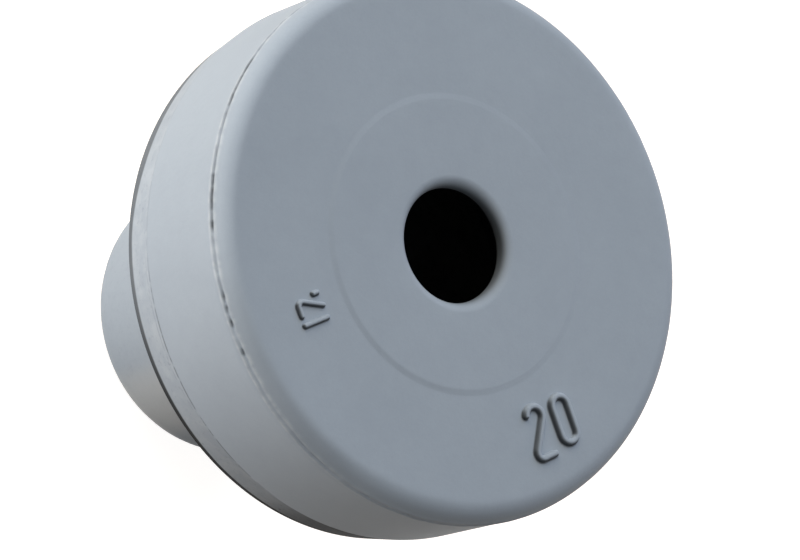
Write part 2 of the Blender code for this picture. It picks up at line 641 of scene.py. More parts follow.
@dataclass(frozen=True)
class Stroke:
    """One stroke of a numeral along its middle.

    Args:
        path: The middle line's points, in the numeral's own x and y.
        closed: Whether the last point joins the first.
        cap_steps: How many steps a round end has.
    """

    path: tuple[Vector, ...]
    closed: bool = False
    cap_steps: int = 8

    def sides(self) -> list[Vector]:
        """Return which way is left at each point of the path."""
        path, last = self.path, len(self.path) - 1
        made = []
        for i, point in enumerate(path):
            before = path[i - 1] if self.closed or i > 0 else point
            after = path[(i + 1) % len(path)] if self.closed or i < last else point
            along = (after - before).normalized()
            made.append(Vector((-along.y, along.x)))
        return made

    def cap(self, middle: Vector, side: Vector, half: float) -> list[Vector]:
        """Return the points of a round end, without its first and last.

        Args:
            middle: The end of the path.
            side: Which way the round end starts.
            half: Its radius.

        Returns:
            The points in their order.
        """
        ahead = Vector((side.y, -side.x))
        turns = [math.pi * k / self.cap_steps for k in range(1, self.cap_steps)]
        return [middle + (side * math.cos(turn) + ahead * math.sin(turn)) * half for turn in turns]

    def outline(self, half: float) -> list[Vector]:
        """Return the points round the stroke.

        Args:
            half: How far they are from the path.

        Returns:
            The left side and then the right one; on an open path each is followed by a round end.
        """
        sides = self.sides()
        left = [point + side * half for point, side in zip(self.path, sides)]
        right = [point - side * half for point, side in zip(self.path, sides)]
        if self.closed:
            return left + right
        end = self.cap(self.path[-1], sides[-1], half)
        start = self.cap(self.path[0], -sides[0], half)
        return left + end + right[::-1] + start

    def middles(self) -> list[Vector]:
        """Return the path's point that each point of the outline belongs to."""
        wait = self.cap_steps - 1
        if self.closed:
            return [*self.path, *self.path]
        return [*self.path, *[self.path[-1]] * wait, *self.path[::-1], *[self.path[0]] * wait]


@dataclass(frozen=True)
class Lettercutter:
    """Lays out numerals as a die cutter does, with one round tool of a fixed width.

    Args:
        height: Height of the numerals over all.
        width: Width of the numerals over all.
        tool: Width of the tool, and so of every stroke near its base.
        corner: Radius of a corner, in tools.
        half_turn_steps: How many steps each round end of the nought has.
        seven_foot: Where the seven's stem ends, in half widths from its middle.
        two_foot: The two's lower left corner, in half widths and half heights.
        two_corner: Radius of that corner, in tools.
        two_end: Where the two's foot ends, in half widths and half heights.
        hook_from: Where on its arc the two's hook starts, in degrees.
        hook_steps: How many steps the hook has.
        pip_half: Half the pip's length, in tools.
    """

    height: float
    width: float
    tool: float
    corner: float = 0.8
    half_turn_steps: int = 12
    seven_foot: float = -0.6
    two_foot: tuple[float, float] = (-1.65, -1.22)
    two_corner: float = 0.768
    two_end: tuple[float, float] = (1.0, -1.18)
    hook_from: float = 160.0
    hook_steps: int = 14
    pip_half: float = 0.4

    @property
    def half_height(self) -> float:
        """Half the height of the middle line."""
        return (self.height - self.tool) / 2

    @property
    def half_width(self) -> float:
        """Half the width of the middle line."""
        return (self.width - self.tool) / 2

    def chain(self, *corners: Corner) -> tuple[Vector, ...]:
        """Return an open middle line.

        Args:
            corners: Its corners, first to last.

        Returns:
            Its points, no further apart than a third of the tool.
        """
        points = rounded(corners, NUMERAL_STEP)
        dense = [points[0]]
        for point in points[1:]:
            start = dense[-1]
            gap = point - start
            pieces = max(1, math.ceil(gap.length / (self.tool / 3)))
            dense += [start + gap * (k / pieces) for k in range(1, pieces + 1)]
        return tuple(dense)

    def zero(self) -> Stroke:
        """Return the nought: two half circles and two straight sides."""
        w, straight = self.half_width, self.half_height - self.half_width
        run = max(2, math.ceil(2 * straight / (self.tool / 2)))
        points = []
        for base, sign in ((0.0, 1.0), (math.pi, -1.0)):
            for k in range(self.half_turn_steps + 1):
                turn = base + math.pi * k / self.half_turn_steps
                points.append(Vector((w * math.cos(turn), sign * straight + w * math.sin(turn))))
            end = points[-1]
            points += [end - Vector((0.0, sign * 2 * straight * k / run)) for k in range(1, run)]
        return Stroke(tuple(points), closed=True)

    def one(self) -> Stroke:
        """Return the one, a plain upright stroke."""
        return Stroke(self.chain(Corner(0.0, self.half_height), Corner(0.0, -self.half_height)))

    def two(self) -> Stroke:
        """Return the two: a hook, a slanting stem that leaves it at a tangent, and a foot."""
        w, h = self.half_width, self.half_height
        centre = Vector((0.0, h - w))
        foot = Corner(self.two_foot[0] * w, self.two_foot[1] * h, self.two_corner * self.tool)
        drop = Vector((foot.across, foot.up)) - centre
        start = math.radians(self.hook_from)
        swing = math.atan2(drop.y, drop.x) + math.acos(w / drop.length) - start
        turns = [start + swing * k / self.hook_steps for k in range(self.hook_steps + 1)]
        hook = [centre + w * Vector((math.cos(turn), math.sin(turn))) for turn in turns]
        tail = self.chain(Corner(hook[-1].x, hook[-1].y), foot,
                          Corner(self.two_end[0] * w, self.two_end[1] * h))
        return Stroke(tuple(hook) + tail[1:])

    def seven(self) -> Stroke:
        """Return the seven: a bar and a slanting stem."""
        w, h = self.half_width, self.half_height
        return Stroke(self.chain(Corner(-w, h), Corner(w, h, self.corner * self.tool),
                                 Corner(self.seven_foot * w, -h)))

    def pip(self) -> Stroke:
        """Return the pip, a very short upright stroke."""
        half = self.pip_half * self.tool
        return Stroke((Vector((0.0, half)), Vector((0.0, -half))))

    def stroke(self, digit: Digit) -> Stroke:
        """Return the stroke of a numeral."""
        shapes = {Digit.ZERO: self.zero, Digit.ONE: self.one, Digit.TWO: self.two,
                  Digit.SEVEN: self.seven, Digit.PIP: self.pip}
        return shapes[digit]()


@dataclass(frozen=True)
class CrownRing:
    """One ring of a raised stroke's rounded section.

    Args:
        width: Its width, as a share of the tool's.
        lift: Its height above the face, as a share of the relief.
        grime_and_shade: How much painted shade it carries where it faces shade_angle.
    """

    width: float
    lift: float
    grime_and_shade: float


@dataclass(frozen=True)
class RaisedNumber:
    """A number that stands up from the face.

    Args:
        digits: The numerals, left to right.
        offsets: Each numeral's middle, in the number's own x and y.
        centre: Where the number's middle is on the face.
        up_angle: Which way the numerals' tops point on the face, in degrees.
        cutter: The tool that laid them out.
        relief: How far they stand up.
        shade_angle: The direction of the walls that carry most painted shade, in degrees.
        shade_facing: Cosines to that direction between which the painted shade sets in.
        crown: The rings of a stroke's section, base first.
    """

    digits: tuple[Digit, ...]
    offsets: tuple[tuple[float, float], ...]
    centre: tuple[float, float]
    up_angle: float
    cutter: Lettercutter
    relief: float
    shade_angle: float = 238.0
    shade_facing: Window = (-0.15, 0.45)
    crown: tuple[CrownRing, ...] = (
        CrownRing(1.45, 0.00, 0.0), CrownRing(1.22, 0.00, 0.46), CrownRing(1.00, 0.00, 0.72),
        CrownRing(0.94, 0.34, 0.82), CrownRing(0.82, 0.62, 0.82), CrownRing(0.62, 0.84, 0.70),
        CrownRing(0.36, 0.96, 0.36), CrownRing(0.14, 1.00, 0.04),
    )

    def on_face(self, point: Vector, offset: tuple[float, float]) -> Vector:
        """Return where a point of a numeral lies on the face.

        Args:
            point: The point, in the numeral's own x and y.
            offset: The numeral's middle, in the number's own x and y.

        Returns:
            Its x and y on the face.
        """
        up = around(math.radians(self.up_angle)).xy
        right = Vector((up.y, -up.x))
        return Vector(self.centre) + right * (point.x + offset[0]) + up * (point.y + offset[1])

    def wall_shade(self, out: Vector) -> float:
        """Return how much painted shade a wall carries that faces out this way on the face."""
        towards = around(math.radians(self.shade_angle)).xy
        return smooth(*self.shade_facing, out.normalized().dot(towards))


@dataclass
class Ridge:
    """One raised stroke on the mesh.

    Args:
        rings: Its rings of vertices, base first.
        loops: The closed loops that each ring consists of, as places in the ring.
    """

    rings: list[Ring]
    loops: list[list[int]]


# ---------------------------------------------------------------- the moulding

def add_object(name: str, data: bpy.types.ID) -> bpy.types.Object:
    """Return a new object with this data, linked into the scene.

    Args:
        name: The object's name.
        data: Its mesh, lamp or camera.

    Returns:
        The object.
    """
    item = bpy.data.objects.new(name, data)
    bpy.context.scene.collection.objects.link(item)
    return item


def add_mesh(name: str, drawing: bmesh.types.BMesh) -> bpy.types.Object:
    """Make an object of a finished drawing, and free the drawing.

    Args:
        name: The name of the object and of its mesh.
        drawing: The drawing.

    Returns:
        The object.
    """
    mesh = bpy.data.meshes.new(name)
    drawing.to_mesh(mesh)
    drawing.free()
    return add_object(name, mesh)


def encloses(outline: Sequence[Vector], spot: Vector) -> bool:
    """Return whether a closed outline goes round a spot.

    Args:
        outline: The outline's points in their order.
        spot: The spot.

    Returns:
        Whether the spot is inside.
    """
    inside = False
    for i, a in enumerate(outline):
        b = outline[i - 1]
        if (a.y > spot.y) != (b.y > spot.y):
            if spot.x < (b.x - a.x) * (spot.y - a.y) / (b.y - a.y) + a.x:
                inside = not inside
    return inside


class Layer(Enum):
    """Which finish a face of the moulding takes, by its material slot."""

    OUTSIDE = 0
    HOLLOW = 1


@dataclass
class Grommet:
    """The whole grommet as one moulding, which stands in for the CAD node.

    Args:
        section: Its turned section.
        seam: The seam behind the front edge.
        witness: The line where the taper starts.
        numbers: The raised numbers on the face.
        name: The object's name.
        fine_steps: How many vertices the head's rim has round it.
        plain_steps: How many vertices every other ring has.
        swell: How far the head's side swells, as moulded rubber does.
        swell_scale: How quickly the swell changes round the axis.
        swell_rise: How quickly it changes with height.
        witness_pitch: How far apart the rings at the witness line are.
        witness_rings: How many more rings there are on each side of it.
        seam_pitch: How far apart the rings at the seam are.
        seam_margin: How far they go past the seam's lean and bend, in lip offsets.
        nearest: How near a ring for a line may come to one of the section's own.
        least_rise: How much two of the section's points must rise to get rings between them.
        sharp: The bend of an edge that stays crisp, in degrees.
    """

    section: Section = field(default_factory=Section)
    seam: Seam = field(default_factory=Seam)
    witness: WitnessLine = field(default_factory=WitnessLine)
    numbers: tuple[RaisedNumber, ...] = (
        RaisedNumber((Digit.TWO, Digit.ZERO), ((-0.88, 0.0), (0.85, 0.0)), (4.68, -9.16), 107.0,
                     Lettercutter(height=2.80, width=1.40, tool=0.40), relief=0.24),
        RaisedNumber((Digit.ONE, Digit.SEVEN, Digit.PIP),
                     ((-0.61, 0.0), (0.27, 0.0), (0.70, -0.50)), (-9.05, -3.30), 198.0,
                     Lettercutter(height=1.70, width=1.10, tool=0.30), relief=0.18),
    )
    name: str = "grommet_moulding"
    fine_steps: int = 480
    plain_steps: int = 160
    swell: float = 0.010
    swell_scale: float = 2.2
    swell_rise: float = 0.35
    witness_pitch: float = 0.028
    witness_rings: int = 5
    seam_pitch: float = 0.030
    seam_margin: float = 2.4
    nearest: float = 0.008
    least_rise: float = 0.02
    sharp: float = 32.0

    def build(self) -> bpy.types.Object:
        """Make the mesh and its object.

        Returns:
            The moulding, one closed surface, in metres.
        """
        self.mesh = bmesh.new()
        self.grime_and_shade = self.mesh.verts.layers.float.new(GRIME_AND_SHADE)
        self.lip_highlight = self.mesh.verts.layers.float.new(LIP_HIGHLIGHT)
        section = self.section
        rim = self.rim_rings()
        # Painted shade down the lip of the cable hole, darkest deep in the hole.
        crown = [self.ring(point, partial(section.lip_shade, point))
                 for point in rounded(section.crown_corners())]
        hollow = [self.ring(point)
                  for point in rounded(section.hollow_corners(), HOLLOW_STEP)[1:-1]]
        shank = [self.ring(point) for point in rounded(section.shank_corners())]
        self.sheet(rim, Layer.OUTSIDE)
        self.sheet(crown, Layer.OUTSIDE)
        self.sheet([crown[-1], *hollow, shank[0]], Layer.HOLLOW)
        self.sheet(shank, Layer.OUTSIDE)
        self.join_unequal(shank[-1], rim[0])
        ridges = [self.ridge(number, digit, offset) for number in self.numbers
                  for digit, offset in zip(number.digits, number.offsets)]
        self.web(rim[-1], crown[0], ridges)
        bmesh.ops.recalc_face_normals(self.mesh, faces=self.mesh.faces[:])
        for edge in self.mesh.edges:
            edge.smooth = edge.calc_face_angle(0.0) < math.radians(self.sharp)
        return add_mesh(self.name, self.mesh)

    def dress(self, item: bpy.types.Object, outside: bpy.types.Material,
              hollow: bpy.types.Material) -> None:
        """Give the moulding its finishes, in the order of the layers.

        Args:
            item: The moulding.
            outside: The outside's finish.
            hollow: The hollow's finish.
        """
        for finish in (outside, hollow):
            item.data.materials.append(finish)

    def vertex(self, x: float, y: float, z: float, grime_and_shade: float = 0.0) -> bmesh.types.BMVert:
        """Add a vertex.

        Args:
            x: Its place across, in millimetres.
            y: Its other place across, in millimetres.
            z: Its height, in millimetres.
            grime_and_shade: Its share of the dark cover of dirt and painted shade.

        Returns:
            The vertex.
        """
        made = self.mesh.verts.new((x * MILLIMETRE, y * MILLIMETRE, z * MILLIMETRE))
        made[self.grime_and_shade] = grime_and_shade
        return made

    def face(self, corners: Sequence[bmesh.types.BMVert], layer: Layer) -> None:
        """Add one smooth face.

        Args:
            corners: Its corners in their order.
            layer: The finish that it takes.
        """
        made = self.mesh.faces.new(corners)
        made.smooth = True
        made.material_index = layer.value

    def ring(self, point: Vector, grime_and_shade: Callable[[float], float] | None = None) -> Ring:
        """Turn a point of the section into a plain ring of vertices.

        Args:
            point: The point of the section.
            grime_and_shade: The share of painted shade at an angle in radians, or None for a ring
                without it.

        Returns:
            The vertices, in the order of their angles.
        """
        made = []
        for k in range(self.plain_steps):
            angle = 2 * math.pi * k / self.plain_steps
            held = grime_and_shade(angle) if grime_and_shade else 0.0
            made.append(self.vertex(point.x * math.cos(angle), point.x * math.sin(angle),
                                    point.y, held))
        return made

    def sheet(self, rings: Sequence[Ring], layer: Layer) -> None:
        """Join each ring to the next with four-sided faces.

        Args:
            rings: The rings, which have the same number of vertices.
            layer: The finish that the faces take.
        """
        for lower, upper in zip(rings, rings[1:]):
            for i in range(len(lower)):
                j = (i + 1) % len(lower)
                self.face([lower[i], lower[j], upper[j], upper[i]], layer)

    def join_unequal(self, coarse: Ring, fine: Ring) -> None:
        """Join a plain ring to a fine one in the same plane.

        Args:
            coarse: The plain ring.
            fine: The fine ring, which has a whole number of times as many vertices.
        """
        times = len(fine) // len(coarse)
        for i in range(len(coarse)):
            far = [fine[(i * times + k) % len(fine)] for k in range(times, -1, -1)]
            self.face([coarse[i], coarse[(i + 1) % len(coarse)], *far], Layer.OUTSIDE)

    # -- the head's rim

    def rim_rings(self) -> list[Ring]:
        """Return the rings of the head's rim with the seam, the witness line and the swell."""
        points = self.add_heights(rounded(self.section.rim_corners(), RIM_STEP))
        inner = [self.rim_ring(*points[i - 1:i + 2]) for i in range(1, len(points) - 1)]
        return [self.rim_end(points[0]), *inner, self.rim_end(points[-1])]

    def rim_end(self, point: Vector) -> Ring:
        """Return one of the rim's two end rings, which are even and clean."""
        angles = [2 * math.pi * k / self.fine_steps for k in range(self.fine_steps)]
        return [self.vertex(point.x * math.cos(a), point.x * math.sin(a), point.y) for a in angles]

    def rim_ring(self, before: Vector, point: Vector, after: Vector) -> Ring:
        """Return one fine ring of the rim with its relief, its dirt and painted shade, and its
        painted highlight.

        Args:
            before: The section's point before it.
            point: The section's point that it is turned from.
            after: The section's point after it.

        Returns:
            The vertices, in the order of their angles.
        """
        along = (after - before).normalized()
        normal = Vector((along.y, -along.x))
        ring = []
        for k in range(self.fine_steps):
            angle = 2 * math.pi * k / self.fine_steps
            spot = self.section.worn_front(point, angle) + normal * self.rim_relief(angle, point)
            made = self.vertex(spot.x * math.cos(angle), spot.x * math.sin(angle), spot.y,
                               self.seam.grime_and_shade(angle, point.y))
            made[self.lip_highlight] = self.seam.lip_highlight(angle, point.y)
            ring.append(made)
        return ring

    def rim_relief(self, angle: float, point: Vector) -> float:
        """Return how far the rim's surface moves out.

        Args:
            angle: Where round the axis, in radians.
            point: The point of the section.

        Returns:
            The move along the surface's normal, below 0 for inwards.
        """
        side = smooth(self.section.seat + 0.2, self.section.seat + 1.2, point.y)
        side *= smooth(self.section.rim_radius, self.section.head_radius, point.x)
        place = around(angle) * self.swell_scale + Vector((0.0, 0.0, point.y * self.swell_rise))
        swell = self.swell * side * noise.noise(place)
        return swell + self.seam.relief(angle, point.y) + self.witness.relief(angle, point.y)

    def add_heights(self, points: list[Vector]) -> list[Vector]:
        """Add points to the rim's section where the two fine lines run.

        Args:
            points: The section's points, seat to face.

        Returns:
            The points with the new ones among them.
        """
        wanted = [self.witness.height + self.witness_pitch * k
                  for k in range(-self.witness_rings, self.witness_rings + 1)]
        spread = self.seam.lean + self.seam.bend + self.seam_margin * self.seam.lip_offset
        low = self.seam.height - spread
        wanted += [low + self.seam_pitch * k for k in range(int(2 * spread / self.seam_pitch) + 1)]
        dense: list[Vector] = [points[0]]
        for point in points[1:]:
            start = dense[-1]
            inside = [y for y in wanted
                      if start.y + self.nearest < y < point.y - self.nearest]
            if point.y - start.y > self.least_rise:
                dense += [self.on_side(y, start, point) for y in sorted(inside)]
            dense.append(point)
        return dense

    def on_side(self, height: float, start: Vector, end: Vector) -> Vector:
        """Return the section's point at a height, on the front arc if it is there.

        Args:
            height: The height.
            start: The section's point below it.
            end: The section's point above it.

        Returns:
            The point.
        """
        radius = self.section.front_radius
        arc_foot = self.section.face - radius
        if height <= arc_foot:
            return start.lerp(end, (height - start.y) / (end.y - start.y))
        rise = min(height - arc_foot, radius)
        across = self.section.head_radius - radius + math.sqrt(radius ** 2 - rise ** 2)
        return Vector((across, height))

    # -- the face

    def ridge(self, number: RaisedNumber, digit: Digit, offset: tuple[float, float]) -> Ridge:
        """Build one numeral as a ridge from the face to its rounded top.

        Args:
            number: The number that it belongs to.
            digit: The numeral.
            offset: The numeral's middle, in the number's own x and y.

        Returns:
            The ridge, so that the face can be cut to fit its lowest ring.
        """
        stroke = number.cutter.stroke(digit)
        middles = [number.on_face(middle, offset) for middle in stroke.middles()]
        rings = []
        for level in number.crown:
            height = self.section.face + number.relief * level.lift
            spots = [number.on_face(spot, offset)
                     for spot in stroke.outline(number.cutter.tool / 2 * level.width)]
            # Each ring's share of painted shade, on the walls and the foot that face down the left.
            rings.append([self.vertex(spot.x, spot.y, height,
                                      level.grime_and_shade * number.wall_shade(spot - middle))
                          for spot, middle in zip(spots, middles)])
        whole = list(range(len(rings[0])))
        count = len(stroke.path)
        loops = [whole[:count], whole[count:]] if stroke.closed else [whole]
        for lower, upper in zip(rings, rings[1:]):
            for loop in loops:
                self.sheet([[lower[i] for i in loop], [upper[i] for i in loop]], Layer.OUTSIDE)
        self.close_top(rings[-1], stroke)
        return Ridge(rings, loops)

    def close_top(self, top: Ring, stroke: Stroke) -> None:
        """Close a ridge's top with faces from its left side to its right.

        Args:
            top: The ridge's highest ring.
            stroke: Its stroke.
        """
        count = len(stroke.path)
        if stroke.closed:
            self.sheet([top[:count], top[count:]], Layer.OUTSIDE)
            return
        right = len(top) - stroke.cap_steps
        for i in range(count - 1):
            self.face([top[i], top[i + 1], top[right - i - 1], top[right - i]], Layer.OUTSIDE)
        self.face(top[count - 1:count + stroke.cap_steps], Layer.OUTSIDE)
        self.face([*top[right:], top[0]], Layer.OUTSIDE)

    def web(self, outer: Ring, inner: Ring, ridges: Sequence[Ridge]) -> None:
        """Fill the flat of the face between two rings, round the foot of every ridge.

        Args:
            outer: The ring where the rim ends.
            inner: The ring at the foot of the plateau.
            ridges: What stands on the flat.
        """
        outlines = [outer, inner]
        outlines += [[ridge.rings[0][i] for i in loop] for ridge in ridges for loop in ridge.loops]
        vertices: Ring = []
        edges: list[tuple[int, int]] = []
        for outline in outlines:
            first, count = len(vertices), len(outline)
            vertices += outline
            edges += [(first + i, first + (i + 1) % count) for i in range(count)]
        drawn = [[Vector((v.co.x / MILLIMETRE, v.co.y / MILLIMETRE)) for v in outline]
                 for outline in outlines]
        flat = [spot for outline in drawn for spot in outline]
        spots, _, triangles, sources, _, _ = delaunay_2d_cdt(flat, edges, [], 0, 1e-5, True)
        for triangle in triangles:
            middle = sum((spots[i] for i in triangle), Vector((0.0, 0.0))) / 3
            if sum(encloses(hole, middle) for hole in drawn[1:]) % 2 == 0:
                self.face([vertices[sources[i][0]] for i in triangle], Layer.OUTSIDE)


# ---------------------------------------------------------------- shader graphs

class Value:
    """An output of a shader graph, whose arithmetic adds Math nodes to the graph."""

    def __init__(self, graph: "Graph", socket: bpy.types.NodeSocket) -> None:
        """Keep the graph and the output socket."""
        self.graph = graph
        self.socket = socket

    def math(self, operation: str, *others: "Value | float") -> "Value":
        """Return a Math node's result on this value and others."""
        return self.graph.math(operation, self, *others)

    def __add__(self, other: "Value | float") -> "Value":
        """Return self + other."""
        return self.math("ADD", other)

    __radd__ = __add__

    def __sub__(self, other: "Value | float") -> "Value":
        """Return self - other."""
        return self.math("SUBTRACT", other)

    def __rsub__(self, other: float) -> "Value":
        """Return other - self."""
        return self.graph.math("SUBTRACT", other, self)

    def __mul__(self, other: "Value | float") -> "Value":
        """Return self * other."""
        return self.math("MULTIPLY", other)

    __rmul__ = __mul__

    def __truediv__(self, other: "Value | float") -> "Value":
        """Return self / other."""
        return self.math("DIVIDE", other)

    def __rtruediv__(self, other: float) -> "Value":
        """Return other / self."""
        return self.graph.math("DIVIDE", other, self)

    def __abs__(self) -> "Value":
        """Return the size of self."""
        return self.math("ABSOLUTE")

    def step(self, low: float, high: float) -> "Value":
        """Return a smooth step of this value: 0 at low, 1 at high, and clamped."""
        return self.graph.node("ShaderNodeMapRange", {"interpolation_type": "SMOOTHSTEP"},
                               {"Value": self, "From Min": low, "From Max": high})

    def band(self, half: float) -> "Value":
        """Return 1 where this value is 0, falling smoothly to 0 at half either side."""
        return abs(self).step(half, 0.0)


class Graph:
    """The nodes of one material or of the world."""

    def __init__(self, tree: bpy.types.NodeTree) -> None:
        """Empty the tree and keep it."""
        self.tree = tree
        self.tree.nodes.clear()

    def node(self, kind: str, settings: dict[str, object] | None = None,
             inputs: dict[str | int, object] | None = None, output: str | int = 0) -> Value:
        """Add a node.

        Args:
            kind: The node's type.
            settings: Properties, set before the inputs.
            inputs: Values or links of its sockets, by name or number.
            output: Which output to return.

        Returns:
            The output, wrapped.
        """
        made = self.tree.nodes.new(kind)
        for key, value in (settings or {}).items():
            setattr(made, key, value)
        for key, value in (inputs or {}).items():
            socket = made.inputs[key]
            if isinstance(value, Value):
                self.tree.links.new(value.socket, socket)
            else:
                socket.default_value = value
        outputs = made.outputs
        return Value(self, outputs[output] if len(outputs) else None)

    def math(self, operation: str, *operands: "Value | float") -> Value:
        """Return a Math node's result."""
        return self.node("ShaderNodeMath", {"operation": operation}, dict(enumerate(operands)))

    def vector(self, operation: str, *operands: object) -> Value:
        """Return a Vector Math node's result."""
        return self.node("ShaderNodeVectorMath", {"operation": operation},
                         dict(enumerate(operands)), "Vector")

    def mix(self, factor: "Value | float", first: object, second: object) -> Value:
        """Return a mix of two colours."""
        return self.node("ShaderNodeMix", {"data_type": "RGBA"},
                         {0: factor, 6: first, 7: second}, 2)

    def layer(self, name: str) -> Value:
        """Return one of the mesh's layers."""
        return self.node("ShaderNodeAttribute", {"attribute_name": name}, None, "Fac")

    def noise(self, place: Value, grain: "Grain") -> Value:
        """Return a noise texture's value at a place, about 0.5 in the middle."""
        return self.node("ShaderNodeTexNoise", {"noise_dimensions": "3D"},
                         {"Vector": place, "Scale": grain.scale, "Detail": grain.detail,
                          "Roughness": grain.roughness})

    def bump(self, height: Value, strength: float, distance: float,
             normal: Value | None = None) -> Value:
        """Return a bumped normal.

        Args:
            height: The bumps' height.
            strength: How strong they are.
            distance: How high they are, in metres.
            normal: The normal that they are added to, or None for the surface's own.

        Returns:
            The normal.
        """
        inputs: dict[str | int, object] = {"Height": height, "Strength": strength,
                                           "Distance": distance}
        if normal is not None:
            inputs["Normal"] = normal
        return self.node("ShaderNodeBump", None, inputs)

    def principled(self, colour: "Value | Colour", roughness: "Value | float", shine: float,
                   normal: Value | None = None) -> Value:
        """Return a non-metallic surface.

        Args:
            colour: Its base colour.
            roughness: How matt it is.
            shine: Its specular level.
            normal: Its bumped normal, or None for the surface's own.

        Returns:
            The shader.
        """
        inputs: dict[str | int, object] = {"Base Color": colour, "Roughness": roughness,
                                           "Specular IOR Level": shine}
        if normal is not None:
            inputs["Normal"] = normal
        return self.node("ShaderNodeBsdfPrincipled", None, inputs)

    def blend(self, factor: Value, first: Value | None, second: Value) -> Value:
        """Return a mix of two shaders, of which the first may be nothing at all."""
        inputs: dict[str | int, object] = {0: factor, 2: second}
        if first is not None:
            inputs[1] = first
        return self.node("ShaderNodeMixShader", None, inputs)

    def seen_directly(self) -> Value:
        """Return 1 for what the camera sees itself, in a mirror or through glass, and else 0."""
        rays = [self.node("ShaderNodeLightPath", None, None, name)
                for name in ("Is Camera Ray", "Is Glossy Ray", "Is Transmission Ray")]
        return (rays[0] + rays[1] + rays[2]).math("MINIMUM", 1.0)

    def finish(self, surface: Value) -> None:
        """Link the surface to the output."""
        self.node("ShaderNodeOutputMaterial", None, {"Surface": surface})


def new_material(name: str) -> tuple[bpy.types.Material, Graph]:
    """Return a new material and its empty graph."""
    material = bpy.data.materials.new(name)
    material.use_nodes = True
    return material, Graph(material.node_tree)


class Spot:
    """Where a shaded point lies on the moulding, in millimetres."""

    def __init__(self, graph: Graph) -> None:
        """Add the nodes that find the place, its height and its distance from the axis.

        Args:
            graph: The material's graph.
        """
        here = graph.node("ShaderNodeTexCoord", None, None, "Object")
        self.graph = graph
        self.place = graph.vector("MULTIPLY", here, (1 / MILLIMETRE,) * 3)
        self.x, self.y, self.z = (graph.node("ShaderNodeSeparateXYZ", None, {0: self.place}, name)
                                  for name in "XYZ")
        self.radius = (self.x * self.x + self.y * self.y).math("SQRT").math("MAXIMUM", 0.01)

    def facing(self, degrees: float) -> Value:
        """Return the cosine of the angle between the place and a direction across the axis."""
        turn = math.radians(degrees)
        return (self.x * math.cos(turn) + self.y * math.sin(turn)) / self.radius


@dataclass(frozen=True)
class Grain:
    """A procedural unevenness.

    Args:
        scale: How fine it is, for each millimetre on the moulding and each metre elsewhere.
        detail: How many finer layers it has.
        roughness: How strong those are.
    """

    scale: float
    detail: float
    roughness: float

    def on(self, spot: Spot) -> Value:
        """Return its value on the moulding, about 0.5 in the middle."""
        return spot.graph.noise(spot.place, self)


@dataclass(frozen=True)
class Film:
    """A share of a mark that faces one way across the axis, used for dust, for dirt and for painted
    shade.

    Args:
        towards: The direction that it faces, in degrees.
        start: Cosine to that direction where it starts.
        whole: Cosine to that direction where it is whole.
        share: How dense it is there.
    """

    towards: float
    start: float
    whole: float
    share: float = 1.0

    def on(self, spot: Spot) -> Value:
        """Return how dense it is."""
        return spot.facing(self.towards).step(self.start, self.whole) * self.share


# ---------------------------------------------------------------- the moulding's marks

@dataclass(frozen=True)
class RoughBand:
    """The rougher band between the witness line and the rear edge, with dust, specks and painted
    shade.

    Args:
        foot: Heights between which it sets in.
        top: Heights between which it ends, the lower one last.
        side: Radii between which it sets in.
        dust: How much dust lies on it.
        dusty: Values of the elastomer's mottle between which the dust sets in.
        specks: The pattern of its specks.
        speckled: Values of the pattern between which a speck sets in.
        speck_share: How dark a speck is.
        shade_films: Its painted shade, densest where it faces 258° to 262°, faint at 140° and 204°.
    """

    foot: Window
    top: Window
    side: Window = (13.2, 13.6)
    dust: float = 0.16
    dusty: Window = (0.35, 0.75)
    specks: Grain = Grain(3.2, 3.0, 0.7)
    speckled: Window = (0.55, 0.8)
    speck_share: float = 0.22
    # Painted shade where the band faces 258° to 262°, and faint darkening at 140° and 204°.
    shade_films: tuple[Film, ...] = (Film(258.0, 0.55, 1.0, 0.38), Film(262.0, 0.88, 0.985, 0.46),
                               Film(140.0, 0.94, 1.0, 0.06), Film(204.0, 0.93, 1.0, 0.06))

    def mask(self, spot: Spot) -> Value:
        """Return where the band is."""
        return spot.z.step(*self.top) * spot.z.step(*self.foot) * spot.radius.step(*self.side)

    def dusting(self, spot: Spot, mottle: Value) -> Value:
        """Return how much dust lies on the band."""
        return self.mask(spot) * self.dust * mottle.step(*self.dusty)

    def cover(self, spot: Spot) -> Value:
        """Return how much dark lies on the band: specks of dirt, and painted shade."""
        specks = self.specks.on(spot).step(*self.speckled) * self.speck_share
        return self.mask(spot) * (specks + sum(shade_film.on(spot) for shade_film in self.shade_films))


@dataclass(frozen=True)
class WitnessShade:
    """Painted shade in the witness line, densest low on the left, and a fainter second band of it
    below the line there.

    Args:
        height: The line's height.
        half: How far its painted shade spreads.
        share: How dense it is all round.
        low: Where the low left is.
        low_shade_share: How much denser it is there.
        echo_drop: How far below the line the second trace runs.
        echo_half: How far that spreads.
        echo_share: How dense that is.
        breaks: The pattern that breaks both up.
        broken: Values of the pattern between which the painted shade sets in.
        side: Radii between which it sets in.
    """

    height: float
    half: float = 0.11
    share: float = 0.12
    # Painted shade, densest where the line faces down the left.
    low: Film = Film(207.0, 0.84, 0.98)
    low_shade_share: float = 0.44
    echo_drop: float = 0.30
    echo_half: float = 0.08
    echo_share: float = 0.24
    breaks: Grain = Grain(1.9, 2.0, 0.6)
    broken: Window = (0.30, 0.60)
    side: Window = (13.2, 13.6)

    def cover(self, spot: Spot) -> Value:
        """Return how much painted shade lies there."""
        low, above = self.low.on(spot), spot.z - self.height
        line = above.band(self.half) * (self.share + self.low_shade_share * low)
        echo = (above + self.echo_drop).band(self.echo_half) * low * self.echo_share
        return (line + echo) * spot.radius.step(*self.side) * self.breaks.on(spot).step(*self.broken)


